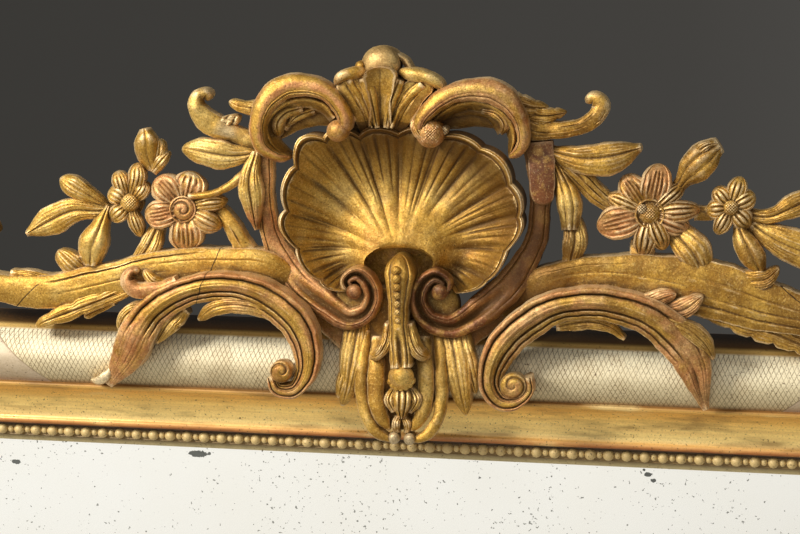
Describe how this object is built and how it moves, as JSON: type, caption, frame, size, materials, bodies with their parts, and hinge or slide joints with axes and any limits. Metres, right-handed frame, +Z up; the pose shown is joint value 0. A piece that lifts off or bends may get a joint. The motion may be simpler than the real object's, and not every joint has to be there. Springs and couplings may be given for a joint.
{
  "type": "wall mirror",
  "caption": "Tall wall mirror in a silvered and gilt moulded frame with rounded upper corners and a pierced carved crest of shell, scrolls and flowers",
  "frame": {"origin": "the wall fixing, at the middle of the top rail's flat back face, in the plane of the wall", "axes": "+Z up, +X to the right seen from the front, the front faces -Y and the wall is the plane Y = 0"},
  "size_m": [0.98, 0.0751, 1.6147],
  "materials": {
    "top_rail": "silver leaf on the half-round, gold leaf on the rest, over gesso on pine",
    "bottom_rail": "silver leaf on the half-round, gold leaf on the rest, over gesso on pine",
    "left_stile": "silver leaf on the half-round, gold leaf on the rest, over gesso on pine",
    "right_stile": "silver leaf on the half-round, gold leaf on the rest, over gesso on pine",
    "crest": "worn gold leaf over red bole and gesso on carved wood",
    "mirror_glass": "old silvered plate with foxing",
    "backboard": "bare sawn pine"
  },
  "bodies": {
    "root": {"top_rail": "top_rail", "bottom_rail": "bottom_rail", "left_stile": "left_stile", "right_stile": "right_stile", "crest": "crest", "mirror_glass": "mirror_glass", "backboard": "backboard"}
  },
  "joints": []
}
